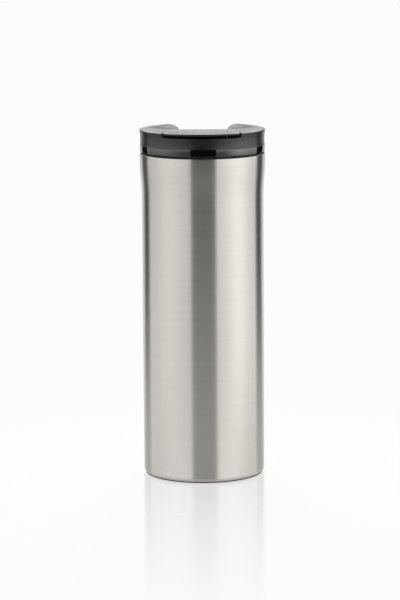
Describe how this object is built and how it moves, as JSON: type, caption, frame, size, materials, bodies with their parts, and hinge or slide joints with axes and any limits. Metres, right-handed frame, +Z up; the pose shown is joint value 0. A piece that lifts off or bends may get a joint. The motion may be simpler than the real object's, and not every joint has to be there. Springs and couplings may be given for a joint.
{
  "type": "insulated travel mug",
  "caption": "Tall double-wall steel mug, round and slightly flared at the mouth, with a screw-in black lid that has a dished top and a flip-up drinking flap.",
  "frame": {"origin": "centre of the foot, on the surface that the mug stands on", "axes": "+Z up along the mug's axis, -Y towards the flap's lip and the drinker, +X to the right of a drinker who faces +Y"},
  "size_m": [0.072, 0.072, 0.2],
  "materials": {
    "brushed_steel": "brushed round the axis",
    "polished_steel": "electropolished",
    "plain_steel": "plain mill",
    "pin_steel": "polished",
    "copper_foil": "bright foil",
    "getter": "sintered",
    "seal_glass": "fused",
    "satin_plastic": "fine satin texture",
    "gloss_plastic": "mirror gloss",
    "seal_silicone": "matte silicone",
    "pad_silicone": "matte silicone",
    "foam": "closed-cell foam"
  },
  "bodies": {
    "mug": {"outer_shell": "brushed_steel", "inner_liner": "polished_steel", "liner_base": "polished_steel", "foil_wrap": "copper_foil", "getter_holder": "plain_steel", "getter_pellet": "getter", "base_cup": "plain_steel", "evac_seal": "seal_glass", "base_cover": "plain_steel", "base_pad": "pad_silicone"},
    "seal_ring": {"lid_gasket": "seal_silicone"},
    "lid": {"lid_cover": "satin_plastic", "lid_plug": "gloss_plastic", "insulation_disc": "foam", "port_grommet": "seal_silicone", "vent_grommet": "seal_silicone", "hinge_pin": "pin_steel"},
    "flap": {"flap": "satin_plastic", "spout_seal": "seal_silicone", "vent_seal": "seal_silicone"}
  },
  "joints": [
    {"name": "lid_lift", "type": "slide", "parent": "mug", "child": "seal_ring", "axis": [0, 0, 1], "range_m": [0, 0.0301]},
    {"name": "lid_turn", "type": "hinge", "parent": "seal_ring", "child": "lid", "pos_m": [0, 0, 0.186], "axis": [0, 0, 1], "range_deg": [0, 1080]},
    {"name": "flap_open", "type": "hinge", "parent": "lid", "child": "flap", "pos_m": [0, 0.006, 0.197], "axis": [-1, 0, 0], "range_deg": [0, 180]}
  ],
  "couplings": [
    {"joint": "lid_lift", "follows": "lid_turn", "m_per_rad": 0.0015915}
  ]
}
